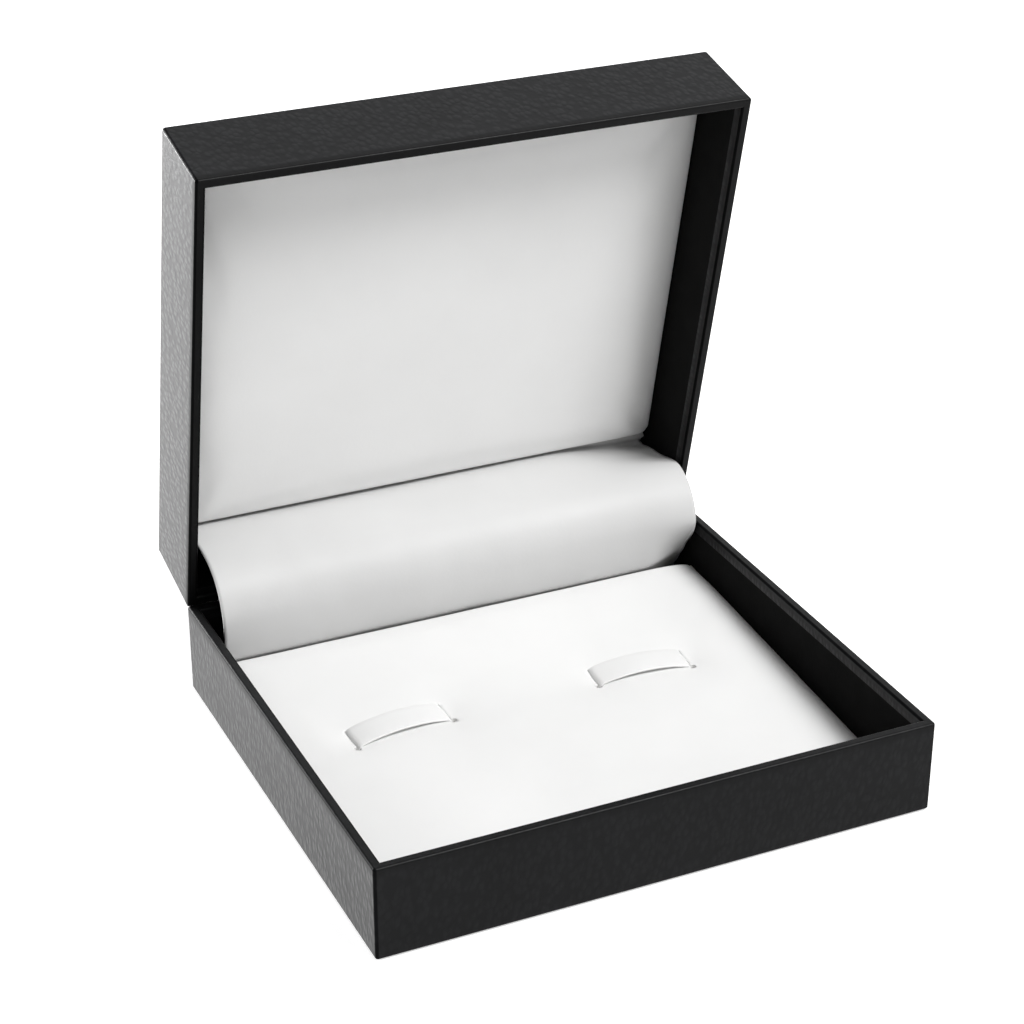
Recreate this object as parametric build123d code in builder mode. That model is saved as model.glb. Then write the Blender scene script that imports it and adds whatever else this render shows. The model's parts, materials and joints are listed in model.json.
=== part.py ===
from build123d import *
from math import asin, cos, degrees, isclose, radians, sin, tan
import os

os.makedirs("parts", exist_ok=True)

# A hinged presentation box for one pair of cufflinks, with its lid open.
# Frame: origin at the centre of the underside, +X to the right, +Y to the back, +Z up. Millimetres.
#
# The two halves are the same covered tray, so each is drawn in its own rim frame. That frame's
# origin is the middle of the hinge axis, x runs across the box, y runs from the hinge to the
# front, and z runs from the rim into the tray.

# ---- Driving dimensions -------------------------------------------------------------------

# Outside
box_width = 90.0
box_depth = 80.0
half_height = 15.4          # from the hinge axis to the outer face of either half
rim_gap = 0.002             # between the two rims when the box is shut: they as good as touch
open_angle = 77.1           # lid open against its stop, measured from shut

# Covered board trays
board = 1.0
cover = 0.3                 # the covering over the board
corner_radius = 0.5         # upright outer corners, except along the hinge
edge_radius = 0.4           # edges round the large outer faces
rim_radius = 0.4            # the covering where it turns over the rim, except along the hinge
turn_in = 2.0               # how far the covering shows inside the walls, above the lining
underside_margin = 7.0      # how far it is turned under the base
underside_sheet = 0.2       # the sheet glued over that margin
underside_inset = 1.5       # from the base's edges
underside_clearance = 0.15

# Cufflink pad in the base, tilted up to the back
base_pad_front_gap = 0.2
base_pad_hinge_gap = 7.3    # from the hinge axis to the pad's back edge
base_pad_board = 0.6
base_pad_foam = 1.0
base_pad_skin = 0.3
base_pad_tilt = 3.9
base_pad_roll = 1.2         # rounding of the pad's upper edges
pad_side_gap = 0.2          # pad to the side walls, in both halves

# Straps that hold the cufflinks down
strap_from_side = 22.0      # from the pad's side edges to the straps' middles
strap_span = 16.4           # between a strap's two slots
strap_width = 5.0
strap_thickness = 0.4
strap_rise = 0.75           # the arch of the strap over its ends
strap_lift = 0.15           # the strap's ends over the pad's surface
strap_tail = 4.0            # the glued ends under the pad
strap_from_front = 45.0     # from the pad's front edge to the straps' middle line
strap_slot_clearance = 0.3
strap_turns = (4.5, -2.5)   # how far each strap, left then right, is turned from square

# Card prop under the pad
prop_board = 1.0
prop_side_inset = 3.0       # from the pad's side edges
prop_back_inset = 1.0       # from the pad's back edge
prop_length = 60.0
prop_clearance = 0.05

# Lid pad
lid_pad_front_gap = 0.2
lid_pad_hinge_gap = 7.5
lid_pad_board = 1.0
lid_pad_foam = 2.4
lid_pad_skin = 0.3
lid_pad_roll = 1.5

# Flap that hides the hinge
flap_thickness = 0.4
flap_side_gap = 0.8         # to the walls
flap_radius = 9.0           # its face, about the hinge axis
flap_base_bend = 14.4       # bend radius below the rim
flap_base_drop = 8.3        # how deep that bend goes before the flap runs straight
flap_lid_bend = 28.0        # bend radius inside the lid
flap_end_gap = 0.3          # flap ends to the tray boards

# Steel hinge
hinge_length = 50.0
knuckle_count = 5
knuckle_radius = 0.9
knuckle_gap = 0.25          # between neighbouring knuckles
pin_radius = 0.45
pin_clearance = 0.05
pin_head_radius = 0.8
pin_head_length = 0.5
leaf_thickness = 0.4
leaf_height = 10.6
leaf_clearance = 0.3        # around the other half's knuckles
notch_side_gap = 0.5        # beyond the ends of the pin

# Stop lugs on the ends of the lid's knuckles, each in a recess of the base's knuckle beside it
stop_lug_length = 0.6
stop_lug_start = 63.0       # degrees round the pin, from the lid's rim
stop_lug_width = 50.0
stop_slack = 2.0            # degrees left at either end of the lid's travel
stop_end_gap = 0.2          # lug's end to the recess's floor

# Rivets through the leaves
rivet_spacing = 20.0
rivet_count = 3
rivet_depth = 9.0           # from the hinge axis
rivet_radius = 0.6
rivet_clearance = 0.05
rivet_head_radius = 1.2
rivet_head_height = 0.5

# Snap springs
spring_spacing = 20.0
spring_width = 5.0
spring_thickness = 0.35
spring_reach = 7.3          # from the hinge axis to the spring's outermost bend
eye_radius = 0.85
eye_hole_radius = 0.5
eye_stand_off = 1.8         # from the tray wall to the eye's middle
eye_depth = 6.0             # from the hinge axis
hook_bar_radius = 0.4
cheek_thickness = 0.5
cheek_gap = 0.3             # spring to each cheek
cheek_margin = 0.5          # cheek round the hook bar

# ---- Sizes that follow --------------------------------------------------------------------

wall = cover + board + cover
# Depths from the hinge axis: each half's outer face, and the inside of its board floor
outer = {"base": half_height - underside_sheet, "lid": half_height}
floor = {half: depth - cover - board for half, depth in outer.items()}
cavity_width = box_width - 2 * wall
cavity_depth = box_depth - 2 * wall
pad_width = cavity_width - 2 * pad_side_gap
notch_depth = knuckle_radius + leaf_clearance
notch_length = hinge_length + 2 * (knuckle_gap + pin_head_length + notch_side_gap)
rim_start = rim_gap / 2
flap_width = cavity_width - 2 * flap_side_gap

hinge_point = Vector(0, box_depth / 2, half_height)
lean = radians(open_angle)

base_rim = Plane(origin=hinge_point, x_dir=(1, 0, 0), z_dir=(0, 0, -1))
lid_rim = Plane(origin=hinge_point, x_dir=(-1, 0, 0), z_dir=(0, sin(lean), cos(lean)))
rims = {"base": base_rim, "lid": lid_rim}


def side_section(rim, x=0.0):
    """The upright plane across the hinge at x, with y of the rim frame along it, then z."""
    return Plane(origin=rim.origin + rim.x_dir * x, x_dir=rim.y_dir, z_dir=rim.x_dir)


def back_face(rim, depth=0.0):
    """The back wall's outer face, or a plane that deep behind it, with z of the rim frame as its y."""
    return Plane(origin=rim.origin + rim.y_dir * depth, x_dir=rim.x_dir, z_dir=-rim.y_dir)


def lid_point(y, z):
    """A point of the lid's side section, given in the base's side section."""
    return (y * cos(lean) - z * sin(lean), -y * sin(lean) - z * cos(lean))


def outline(inset):
    """Plan of a half, that far inside its outer walls. It is square along the hinge."""
    with BuildSketch() as plan:
        with Locations((0, box_depth / 2)):
            Rectangle(box_width - 2 * inset, box_depth - 2 * inset)
        fillet(plan.vertices().sort_by(Axis.Y)[-2:], corner_radius - inset)
    return plan.sketch


def rim_edges(builder, rim, inset):
    """The edges of the rim face, that far inside the rim's outer face, but for the hinge's edge."""
    centers = {edge: rim.to_local_coords(edge.center()) for edge in builder.edges()}
    at_rim = [edge for edge in centers if isclose(centers[edge].Z, rim_start + inset, abs_tol=1e-4)]
    return [edge for edge in at_rim if not isclose(centers[edge].Y, inset, abs_tol=1e-4)]


def evenly(spacing, count):
    """Positions of a row of things, centred on zero."""
    return [(i - (count - 1) / 2) * spacing for i in range(count)]


def wedge(start, width):
    """Corners of a wedge that opens outwards from the hinge axis, in degrees of a side section."""
    reach = 3 * knuckle_radius
    rays = [radians(start + part * width / 2) for part in range(3)]
    return [(0, 0)] + [(reach * cos(ray), reach * sin(ray)) for ray in rays]


rivet_row = [(x, rivet_depth) for x in evenly(rivet_spacing, rivet_count)]


# ---- Covered trays: board, covering turned over the rim, lining below it --------------------

for half, rim in rims.items():
    # The board before its notch and holes, which the covering is wrapped round
    with BuildPart() as blank:
        with BuildSketch(rim.offset(rim_start + cover)):
            add(outline(cover))
        extrude(amount=outer[half] - rim_start - 2 * cover)
        with BuildSketch(rim.offset(rim_start + cover)):
            with Locations((0, box_depth / 2)):
                Rectangle(cavity_width + 2 * cover, cavity_depth + 2 * cover)
        extrude(amount=floor[half] - rim_start - cover, mode=Mode.SUBTRACT)
        fillet(rim_edges(blank, rim, cover), rim_radius - cover)

    with BuildPart() as tray:
        add(blank.part)
        with BuildSketch(rim):
            with Locations((0, wall / 2)):
                Rectangle(notch_length, 2 * wall)
        extrude(amount=notch_depth, mode=Mode.SUBTRACT)
        with BuildSketch(back_face(rim)):
            with Locations(*rivet_row):
                Circle(rivet_radius + rivet_clearance)
        extrude(amount=-2 * wall, mode=Mode.SUBTRACT)
    tray.part.label = f"{half}_tray"
    export_step(tray.part, f"parts/{half}_tray.step")

    with BuildPart() as covering:
        with BuildSketch(rim.offset(rim_start)):
            add(outline(0))
        extrude(amount=outer[half] - rim_start)
        outer_face = covering.faces().sort_by(Axis(rim.origin, rim.z_dir))[-1]
        fillet(outer_face.edges(), edge_radius)
        with BuildSketch(rim.offset(rim_start)):
            with Locations((0, box_depth / 2)):
                Rectangle(cavity_width, cavity_depth)
        extrude(amount=floor[half] - rim_start, mode=Mode.SUBTRACT)
        fillet(rim_edges(covering, rim, 0), rim_radius)
        add(blank.part, mode=Mode.SUBTRACT)
        # Below the turned-in part the walls carry the lining instead
        with BuildSketch(rim.offset(rim_start + turn_in)):
            with Locations((0, box_depth / 2)):
                Rectangle(cavity_width + 2 * cover, cavity_depth + 2 * cover)
        extrude(amount=floor[half] - rim_start - turn_in, mode=Mode.SUBTRACT)
        with BuildSketch(rim):
            with Locations((0, wall / 2)):
                Rectangle(notch_length, 2 * wall)
        extrude(amount=notch_depth, mode=Mode.SUBTRACT)
        if half == "base":
            # The underside sheet's window
            with BuildSketch(rim.offset(outer[half] - cover)):
                with Locations((0, box_depth / 2)):
                    Rectangle(box_width - 2 * underside_margin, box_depth - 2 * underside_margin)
            extrude(amount=cover, mode=Mode.SUBTRACT)
    covering.part.label = f"{half}_covering"
    export_step(covering.part, f"parts/{half}_covering.step")

    with BuildPart() as lining:
        with BuildSketch(rim.offset(rim_start + turn_in)):
            with Locations((0, box_depth / 2)):
                Rectangle(cavity_width + 2 * cover, cavity_depth + 2 * cover)
                Rectangle(cavity_width, cavity_depth, mode=Mode.SUBTRACT)
        extrude(amount=floor[half] - rim_start - turn_in)
        with BuildSketch(back_face(rim)):
            with Locations(*rivet_row):
                Circle(rivet_radius + rivet_clearance)
        extrude(amount=-2 * wall, mode=Mode.SUBTRACT)
    lining.part.label = f"{half}_wall_lining"
    export_step(lining.part, f"parts/{half}_wall_lining.step")

with BuildPart() as underside:
    with BuildSketch(base_rim.offset(half_height)):
        with Locations((0, box_depth / 2)):
            Rectangle(box_width - 2 * underside_inset, box_depth - 2 * underside_inset)
    extrude(amount=-underside_sheet)
    # The sheet sinks into the window between the covering's turned-under edges
    window_inset = underside_margin + underside_clearance
    with BuildSketch(base_rim.offset(outer["base"])):
        with Locations((0, box_depth / 2)):
            Rectangle(box_width - 2 * window_inset, box_depth - 2 * window_inset)
    extrude(amount=-cover)
underside.part.label = "base_underside_sheet"
export_step(underside.part, "parts/base_underside_sheet.step")

# ---- Cufflink pad: board, foam and skin on one tilted plane ----------------------------------

pad_length = (box_depth - wall - base_pad_front_gap - base_pad_hinge_gap) / cos(radians(base_pad_tilt))
pad_tilt = radians(base_pad_tilt)
pad_front = Vector(0, -box_depth / 2 + wall + base_pad_front_gap, half_height - floor["base"])
pad_plane = Plane(origin=pad_front, x_dir=(1, 0, 0), z_dir=(0, -sin(pad_tilt), cos(pad_tilt)))
pad_top = base_pad_board + base_pad_foam + base_pad_skin
strap_spacing = pad_width - 2 * strap_from_side
strap_places = [
    Location((x, strap_from_front), turn)
    for x, turn in zip(evenly(strap_spacing, len(strap_turns)), strap_turns)
]
slot_size = (strap_thickness + 2 * strap_slot_clearance, strap_width + 2 * strap_slot_clearance)

with BuildSketch(pad_plane) as strap_slots:
    for place in strap_places:
        with Locations(place):
            with Locations(*[(x, 0) for x in evenly(strap_span, 2)]):
                Rectangle(*slot_size)

with BuildPart() as pad_board:
    with BuildSketch(pad_plane):
        with Locations((0, pad_length / 2)):
            Rectangle(pad_width - 2 * base_pad_skin, pad_length - 2 * base_pad_skin)
    extrude(amount=base_pad_board)
    extrude(strap_slots.sketch, amount=pad_top, mode=Mode.SUBTRACT)
pad_board.part.label = "base_pad_board"
export_step(pad_board.part, "parts/base_pad_board.step")

with BuildPart() as pad_foam:
    with BuildSketch(pad_plane.offset(base_pad_board)):
        with Locations((0, pad_length / 2)):
            Rectangle(pad_width - 2 * base_pad_skin, pad_length - 2 * base_pad_skin)
    extrude(amount=base_pad_foam)
    fillet(pad_foam.faces().sort_by(Axis(pad_front, pad_plane.z_dir))[-1].edges(),
           base_pad_roll - base_pad_skin)
    extrude(strap_slots.sketch, amount=pad_top, mode=Mode.SUBTRACT)
pad_foam.part.label = "base_pad_foam"
export_step(pad_foam.part, "parts/base_pad_foam.step")

with BuildPart() as pad_cover:
    with BuildSketch(pad_plane):
        with Locations((0, pad_length / 2)):
            Rectangle(pad_width, pad_length)
    extrude(amount=pad_top)
    fillet(pad_cover.faces().sort_by(Axis(pad_front, pad_plane.z_dir))[-1].edges(), base_pad_roll)
    add(pad_board.part, mode=Mode.SUBTRACT)
    add(pad_foam.part, mode=Mode.SUBTRACT)
    extrude(strap_slots.sketch, amount=pad_top, mode=Mode.SUBTRACT)
pad_cover.part.label = "base_pad_cover"
export_step(pad_cover.part, "parts/base_pad_cover.step")

# ---- Straps: arched over the pad, down through their slots and glued flat beneath it ----------

for side, place, turn in zip(("left", "right"), strap_places, strap_turns):
    middle = pad_plane * place
    strap_frame = Plane(middle)
    across = Plane(origin=strap_frame.origin, x_dir=strap_frame.x_dir, z_dir=-strap_frame.y_dir)
    half_span = strap_span / 2
    half_thickness = strap_thickness / 2
    end_height = pad_top + strap_lift
    tail_height = -half_thickness - prop_clearance
    with BuildPart() as strap:
        with BuildSketch(across):
            with BuildLine():
                left_leg = Line((-half_span, tail_height), (-half_span, end_height))
                arch = ThreePointArc(left_leg @ 1, (0, end_height + strap_rise), (half_span, end_height))
                Line(arch @ 1, (half_span, tail_height))
            trace(line_width=strap_thickness)
            for end in (-1, 1):
                with Locations((end * (half_span + strap_tail / 2), tail_height)):
                    Rectangle(strap_tail + strap_thickness, strap_thickness)
        extrude(amount=strap_width / 2, both=True)
    strap.part.label = f"cufflink_strap_{side}"
    export_step(strap.part, f"parts/cufflink_strap_{side}.step")

# ---- Card prop that carries the pad's back: two wedges joined by a back wall -------------------

prop_back = pad_plane.origin.Y + (pad_length - prop_back_inset) * cos(pad_tilt)
prop_width = pad_width - 2 * prop_side_inset
prop_floor = half_height - floor["base"]


def pad_underside(y):
    """Height of the pad's underside over the point y, less the prop's clearance."""
    return pad_front.Z + (y - pad_front.Y) * tan(pad_tilt) - prop_clearance


with BuildPart() as prop:
    with BuildSketch(Plane.YZ.offset(-prop_width / 2)):
        Polygon(
            (prop_back - prop_length, prop_floor),
            (prop_back, prop_floor),
            (prop_back, pad_underside(prop_back)),
            (prop_back - prop_length, pad_underside(prop_back - prop_length)),
            align=None,
        )
    extrude(amount=prop_width)
    with BuildSketch(Plane.XY.offset(prop_floor)):
        with Locations((0, prop_back - prop_board - prop_length / 2)):
            Rectangle(prop_width - 2 * prop_board, prop_length)
    extrude(amount=half_height, mode=Mode.SUBTRACT)
prop.part.label = "pad_prop_frame"
export_step(prop.part, "parts/pad_prop_frame.step")

# ---- Lid pad ----------------------------------------------------------------------------------

lid_pad_length = box_depth - wall - lid_pad_front_gap - lid_pad_hinge_gap
lid_pad_middle = lid_pad_hinge_gap + lid_pad_length / 2
lid_pad_top = floor["lid"] - lid_pad_board - lid_pad_foam - lid_pad_skin
lid_depth_axis = Axis(lid_rim.origin, lid_rim.z_dir)

with BuildPart() as lid_board:
    with BuildSketch(lid_rim.offset(floor["lid"] - lid_pad_board)):
        with Locations((0, lid_pad_middle)):
            Rectangle(pad_width - 2 * lid_pad_skin, lid_pad_length - 2 * lid_pad_skin)
    extrude(amount=lid_pad_board)
lid_board.part.label = "lid_pad_board"
export_step(lid_board.part, "parts/lid_pad_board.step")

with BuildPart() as lid_foam:
    with BuildSketch(lid_rim.offset(lid_pad_top + lid_pad_skin)):
        with Locations((0, lid_pad_middle)):
            Rectangle(pad_width - 2 * lid_pad_skin, lid_pad_length - 2 * lid_pad_skin)
    extrude(amount=lid_pad_foam)
    fillet(lid_foam.faces().sort_by(lid_depth_axis)[0].edges(), lid_pad_roll - lid_pad_skin)
lid_foam.part.label = "lid_pad_foam"
export_step(lid_foam.part, "parts/lid_pad_foam.step")

with BuildPart() as lid_cover:
    with BuildSketch(lid_rim.offset(lid_pad_top)):
        with Locations((0, lid_pad_middle)):
            Rectangle(pad_width, lid_pad_length)
    extrude(amount=floor["lid"] - lid_pad_top)
    fillet(lid_cover.faces().sort_by(lid_depth_axis)[0].edges(), lid_pad_roll)
    add(lid_board.part, mode=Mode.SUBTRACT)
    add(lid_foam.part, mode=Mode.SUBTRACT)
lid_cover.part.label = "lid_pad_cover"
export_step(lid_cover.part, "parts/lid_pad_cover.step")

# ---- Hinge: two leaves, each with its own knuckles, on one pin ----------------------------------

knuckle_pitch = hinge_length / knuckle_count
knuckle_row = evenly(knuckle_pitch, knuckle_count)
base_knuckles = knuckle_row[0::2]
lid_knuckles = knuckle_row[1::2]
# Seen from the base, the lid's lug runs the other way round and turns through the open angle
recess_start = -(stop_lug_start + stop_lug_width + open_angle + stop_slack)
recess_width = stop_lug_width + open_angle + 2 * stop_slack

for half, rim in rims.items():
    with BuildPart() as leaf:
        with BuildSketch(side_section(rim, -hinge_length / 2)):
            Circle(knuckle_radius)
            with Locations((0, knuckle_radius - leaf_thickness)):
                Rectangle(wall + leaf_thickness, leaf_thickness, align=(Align.MIN, Align.MIN))
            with Locations((wall, knuckle_radius - leaf_thickness)):
                Rectangle(leaf_thickness, leaf_height, align=(Align.MIN, Align.MIN))
            Circle(pin_radius + pin_clearance, mode=Mode.SUBTRACT)
        extrude(amount=hinge_length)
        # Room for the other half's knuckles
        room = knuckle_pitch + knuckle_gap
        for x in (lid_knuckles if half == "base" else base_knuckles):
            with BuildSketch(side_section(rim, x - room / 2)):
                Circle(knuckle_radius + leaf_clearance)
            extrude(amount=room, mode=Mode.SUBTRACT)
        # Cheeks and hook bars for the snap springs
        for x in evenly(spring_spacing, 2):
            reach = spring_width + 2 * (cheek_gap + cheek_thickness)
            bar_place = (wall + leaf_thickness + eye_stand_off, eye_depth)
            for start in (x - reach / 2, x + reach / 2 - cheek_thickness):
                with BuildSketch(side_section(rim, start)):
                    with Locations((wall, eye_depth)):
                        Rectangle(
                            leaf_thickness + eye_stand_off + hook_bar_radius + cheek_margin,
                            2 * (hook_bar_radius + cheek_margin),
                            align=(Align.MIN, Align.CENTER),
                        )
                extrude(amount=cheek_thickness)
            with BuildSketch(side_section(rim, x - reach / 2)):
                with Locations(bar_place):
                    Circle(hook_bar_radius)
            extrude(amount=reach)
        with BuildSketch(back_face(rim)):
            with Locations(*rivet_row):
                Circle(rivet_radius + rivet_clearance)
        extrude(amount=-wall - leaf_thickness, mode=Mode.SUBTRACT)
        # Stops, on both ends of the lid's knuckles
        for x in lid_knuckles:
            for way in (-1, 1):
                if half == "lid":
                    with BuildSketch(side_section(rim, x + way * (knuckle_pitch - knuckle_gap) / 2)):
                        Circle(knuckle_radius)
                        Circle(pin_radius + pin_clearance, mode=Mode.SUBTRACT)
                        Polygon(*wedge(stop_lug_start, stop_lug_width), align=None, mode=Mode.INTERSECT)
                    extrude(amount=way * (knuckle_gap + stop_lug_length))
                else:
                    with BuildSketch(side_section(rim, x + way * (knuckle_pitch + knuckle_gap) / 2)):
                        Polygon(*wedge(recess_start, recess_width), align=None)
                    extrude(amount=way * (stop_lug_length + stop_end_gap), mode=Mode.SUBTRACT)
    leaf.part.label = f"hinge_{half}_leaf"
    export_step(leaf.part, f"parts/hinge_{half}_leaf.step")

    with BuildPart() as rivets:
        with BuildSketch(back_face(rim, cover)):
            with Locations(*rivet_row):
                Circle(rivet_radius)
        shank = wall - cover + leaf_thickness
        extrude(amount=-shank)
        with BuildSketch(back_face(rim, cover + shank)):
            with Locations(*rivet_row):
                Circle(rivet_head_radius)
        extrude(amount=-rivet_head_height)
    rivets.part.label = f"hinge_{half}_rivets"
    export_step(rivets.part, f"parts/hinge_{half}_rivets.step")

with BuildPart() as pin:
    with BuildSketch(side_section(base_rim, -hinge_length / 2 - knuckle_gap)):
        Circle(pin_radius)
    extrude(amount=hinge_length + 2 * knuckle_gap)
    for x, way in ((-hinge_length / 2 - knuckle_gap, -1), (hinge_length / 2 + knuckle_gap, 1)):
        with BuildSketch(side_section(base_rim, x)):
            Circle(pin_head_radius)
        extrude(amount=way * pin_head_length)
pin.part.label = "hinge_pin"
export_step(pin.part, "parts/hinge_pin.step")

# ---- Snap springs: C-shaped strips with an eye round each leaf's hook bar -----------------------

eye_base = (wall + leaf_thickness + eye_stand_off, eye_depth)
eye_lid = lid_point(*eye_base)
bulge = (spring_reach * cos(lean / 2), -spring_reach * sin(lean / 2))

for side, x in zip(("left", "right"), evenly(spring_spacing, 2)):
    with BuildPart() as spring:
        with BuildSketch(side_section(base_rim, x - spring_width / 2)):
            with BuildLine():
                ThreePointArc(eye_base, bulge, eye_lid)
            trace(line_width=spring_thickness)
            with Locations(eye_base, eye_lid):
                Circle(eye_radius)
                Circle(eye_hole_radius, mode=Mode.SUBTRACT)
        extrude(amount=spring_width)
    spring.part.label = f"snap_spring_{side}"
    export_step(spring.part, f"parts/snap_spring_{side}.step")

# ---- Flap: one strip from the lid's floor, round the hinge, to the base's floor -----------------

middle_radius = flap_radius - flap_thickness / 2
base_bend = flap_base_bend - flap_thickness / 2
base_turn = asin(flap_base_drop / flap_base_bend)
lid_bend = flap_lid_bend - flap_thickness / 2
lid_turn = asin((floor["lid"] - flap_end_gap) / flap_lid_bend)
base_bend_centre = (flap_radius - flap_base_bend, 0)
lid_bend_centre = lid_point(flap_radius - flap_lid_bend, 0)
straight_start = (
    base_bend_centre[0] + base_bend * cos(base_turn),
    base_bend * sin(base_turn),
)
straight_drop = floor["base"] - flap_end_gap - straight_start[1]
straight_end = (
    straight_start[0] - straight_drop * tan(base_turn),
    floor["base"] - flap_end_gap,
)

with BuildPart() as flap:
    with BuildSketch(side_section(base_rim, -flap_width / 2)):
        with BuildLine():
            Line(straight_end, straight_start)
            CenterArc(base_bend_centre, base_bend, degrees(base_turn), -degrees(base_turn))
            CenterArc((0, 0), middle_radius, 0, -open_angle)
            CenterArc(lid_bend_centre, lid_bend, -open_angle, -degrees(lid_turn))
        trace(line_width=flap_thickness)
    extrude(amount=flap_width)
flap.part.label = "hinge_flap"
export_step(flap.part, "parts/hinge_flap.step")
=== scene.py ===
"""Looks for the cufflink display box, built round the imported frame.

The box's own lengths are in millimetres, and MM turns them into the frame's metres. The camera, the lights
and the materials are in metres."""

import json
import math

import bmesh
import bpy
import numpy as np
from mathutils import Matrix, Vector, noise

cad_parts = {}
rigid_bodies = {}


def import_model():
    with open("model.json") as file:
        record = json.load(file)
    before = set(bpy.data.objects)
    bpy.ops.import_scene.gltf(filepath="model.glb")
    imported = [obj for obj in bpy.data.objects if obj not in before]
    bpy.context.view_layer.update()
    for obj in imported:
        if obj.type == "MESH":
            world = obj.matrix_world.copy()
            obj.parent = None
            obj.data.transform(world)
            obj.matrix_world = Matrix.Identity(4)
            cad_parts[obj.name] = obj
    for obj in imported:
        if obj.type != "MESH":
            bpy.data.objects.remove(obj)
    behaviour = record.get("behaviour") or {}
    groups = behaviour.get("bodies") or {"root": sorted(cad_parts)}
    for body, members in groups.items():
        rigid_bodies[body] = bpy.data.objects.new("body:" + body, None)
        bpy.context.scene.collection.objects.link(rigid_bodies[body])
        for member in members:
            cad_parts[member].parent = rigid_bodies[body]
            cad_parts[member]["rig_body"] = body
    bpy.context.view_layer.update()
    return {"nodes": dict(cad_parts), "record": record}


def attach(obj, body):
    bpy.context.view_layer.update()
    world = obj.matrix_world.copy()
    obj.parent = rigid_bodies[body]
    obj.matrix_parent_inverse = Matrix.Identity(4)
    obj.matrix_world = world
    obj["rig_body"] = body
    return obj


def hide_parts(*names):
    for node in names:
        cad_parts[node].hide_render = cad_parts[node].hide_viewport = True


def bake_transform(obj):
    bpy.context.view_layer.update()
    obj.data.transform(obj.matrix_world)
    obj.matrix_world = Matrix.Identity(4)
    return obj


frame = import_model()
MM = 0.001

# ---- Frame of the box ----------------------------------------------------------------------------

BOX_DEPTH, HALF_HEIGHT = 80.0, 15.4
LEAN = math.radians(77.1)                     # from the shut lid to the open lid
BASE_FLOOR, LID_FLOOR = 13.9, 14.1            # from the hinge axis to each board floor
HINGE = Vector((0, BOX_DEPTH / 2, HALF_HEIGHT))
LID_V = Vector((0, -math.cos(LEAN), math.sin(LEAN)))    # from the hinge to the lid's front
LID_W = Vector((0, -math.sin(LEAN), -math.cos(LEAN)))   # out of the lid's floor


def frame_matrix(origin, u, v):
    """Matrix from a piece's own millimetres to the frame's metres. The piece measures along u, along v and
    out of its surface."""
    u, v = Vector(u), Vector(v)
    w = u.cross(v)
    rows = [[u[i], v[i], w[i], origin[i]] for i in range(3)] + [[0, 0, 0, 1]]
    return Matrix.Scale(MM, 4) @ Matrix(rows)


def new_object(name, data):
    thing = bpy.data.objects.new(name, data)
    bpy.context.scene.collection.objects.link(thing)
    return thing


# ---- Camera: fitted to the corners of the box --------------------------------------------------------

SENSOR_WIDTH, FOCAL_LENGTH = 36.0, 89.149
CAMERA_PLACE = (-0.14604981, -0.30500408, 0.21554515)
CAMERA_RIGHT = Vector((0.908831341, -0.417163675, 0.000248752))
CAMERA_DOWN = Vector((-0.19062757, -0.41583081, -0.88923893))
CAMERA_FORWARD = Vector((0.37106162, 0.80812079, -0.45744297))

camera = new_object("camera", bpy.data.cameras.new("camera"))
camera.data.sensor_width = SENSOR_WIDTH
camera.data.lens = FOCAL_LENGTH
camera.data.clip_start, camera.data.clip_end = 0.01, 20.0
camera_turn = Matrix((CAMERA_RIGHT, -CAMERA_DOWN, -CAMERA_FORWARD)).transposed()
camera.matrix_world = Matrix.Translation(CAMERA_PLACE) @ camera_turn.to_4x4()
bpy.context.scene.camera = camera
bpy.context.scene.view_settings.view_transform = "Standard"

# ---- Nodes helper --------------------------------------------------------------------------------


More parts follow.
